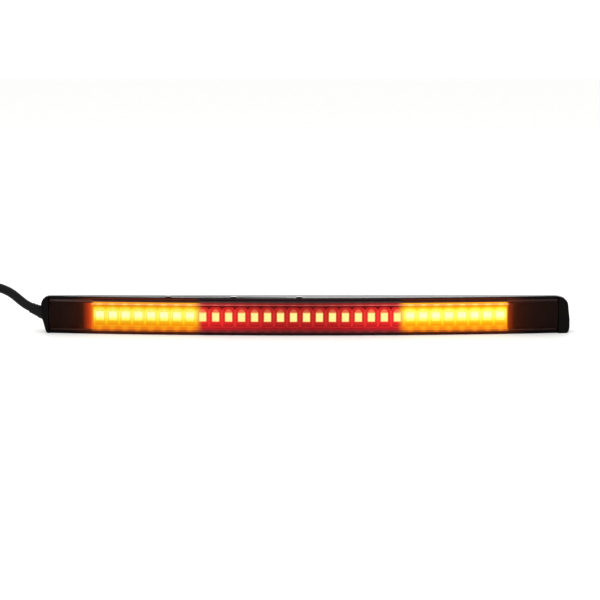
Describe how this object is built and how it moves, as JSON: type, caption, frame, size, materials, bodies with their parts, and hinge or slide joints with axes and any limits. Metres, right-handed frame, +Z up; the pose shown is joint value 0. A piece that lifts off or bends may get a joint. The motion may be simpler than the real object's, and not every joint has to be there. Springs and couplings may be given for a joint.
{
  "type": "third brake light",
  "caption": "Slim smoked LED light bar with a gently bowed front, red brake lamps between amber turn lamps, adhesive back and a tied tail lead.",
  "frame": {"origin": "on the surface the bar stands on, under the middle of the bar's length and depth", "axes": "+X along the bar, to the right seen from the lit side; -Y out of the lit front; +Y out of the adhesive back; +Z up"},
  "size_m": [0.3122, 0.0263, 0.0193],
  "materials": {
    "housing": "fine moulded texture, black",
    "smoked_lens": "polished smoke-tinted polycarbonate",
    "rubber": "satin black",
    "reflector": "moulded, satin",
    "board": "white solder mask",
    "led_red": "moulded LED package, lit",
    "led_amber": "moulded LED package, lit",
    "component": "moulded epoxy",
    "sheath": "extruded PVC, satin",
    "foam": "acrylic foam, matte",
    "liner": "polyethylene release film, satin",
    "tie": "moulded nylon, satin",
    "sleeve": "shrunk polyolefin, satin",
    "wire_black": "extruded PVC insulation",
    "wire_red": "extruded PVC insulation",
    "wire_yellow": "extruded PVC insulation",
    "wire_green": "extruded PVC insulation"
  },
  "bodies": {
    "root": {"rear_housing": "housing", "smoked_lens": "smoked_lens", "lens_gasket": "rubber", "led_divider": "reflector", "circuit_board": "board", "red_led_01": "led_red", "red_led_02": "led_red", "red_led_03": "led_red", "red_led_04": "led_red", "red_led_05": "led_red", "red_led_06": "led_red", "red_led_07": "led_red", "red_led_08": "led_red", "red_led_09": "led_red", "red_led_10": "led_red", "red_led_11": "led_red", "red_led_12": "led_red", "red_led_13": "led_red", "red_led_14": "led_red", "red_led_15": "led_red", "red_led_16": "led_red", "amber_led_left_1": "led_amber", "amber_led_left_2": "led_amber", "amber_led_left_3": "led_amber", "amber_led_left_4": "led_amber", "amber_led_left_5": "led_amber", "amber_led_left_6": "led_amber", "amber_led_left_7": "led_amber", "amber_led_left_8": "led_amber", "amber_led_right_1": "led_amber", "amber_led_right_2": "led_amber", "amber_led_right_3": "led_amber", "amber_led_right_4": "led_amber", "amber_led_right_5": "led_amber", "amber_led_right_6": "led_amber", "amber_led_right_7": "led_amber", "amber_led_right_8": "led_amber", "resistor_1": "component", "resistor_2": "component", "resistor_3": "component", "resistor_4": "component", "diode_1": "component", "diode_2": "component", "diode_3": "component", "core_wire_ground": "wire_black", "core_wire_brake": "wire_red", "core_wire_left": "wire_yellow", "core_wire_right": "wire_green", "cable_grommet": "rubber", "foam_tape": "foam", "tape_liner": "liner", "cable_sheath": "sheath", "cable_hank": "sheath", "hank_tie_1": "tie", "hank_tie_2": "tie", "heat_shrink": "sleeve", "lead_ground": "wire_black", "lead_brake": "wire_red", "lead_left": "wire_yellow", "lead_right": "wire_green"}
  },
  "joints": []
}
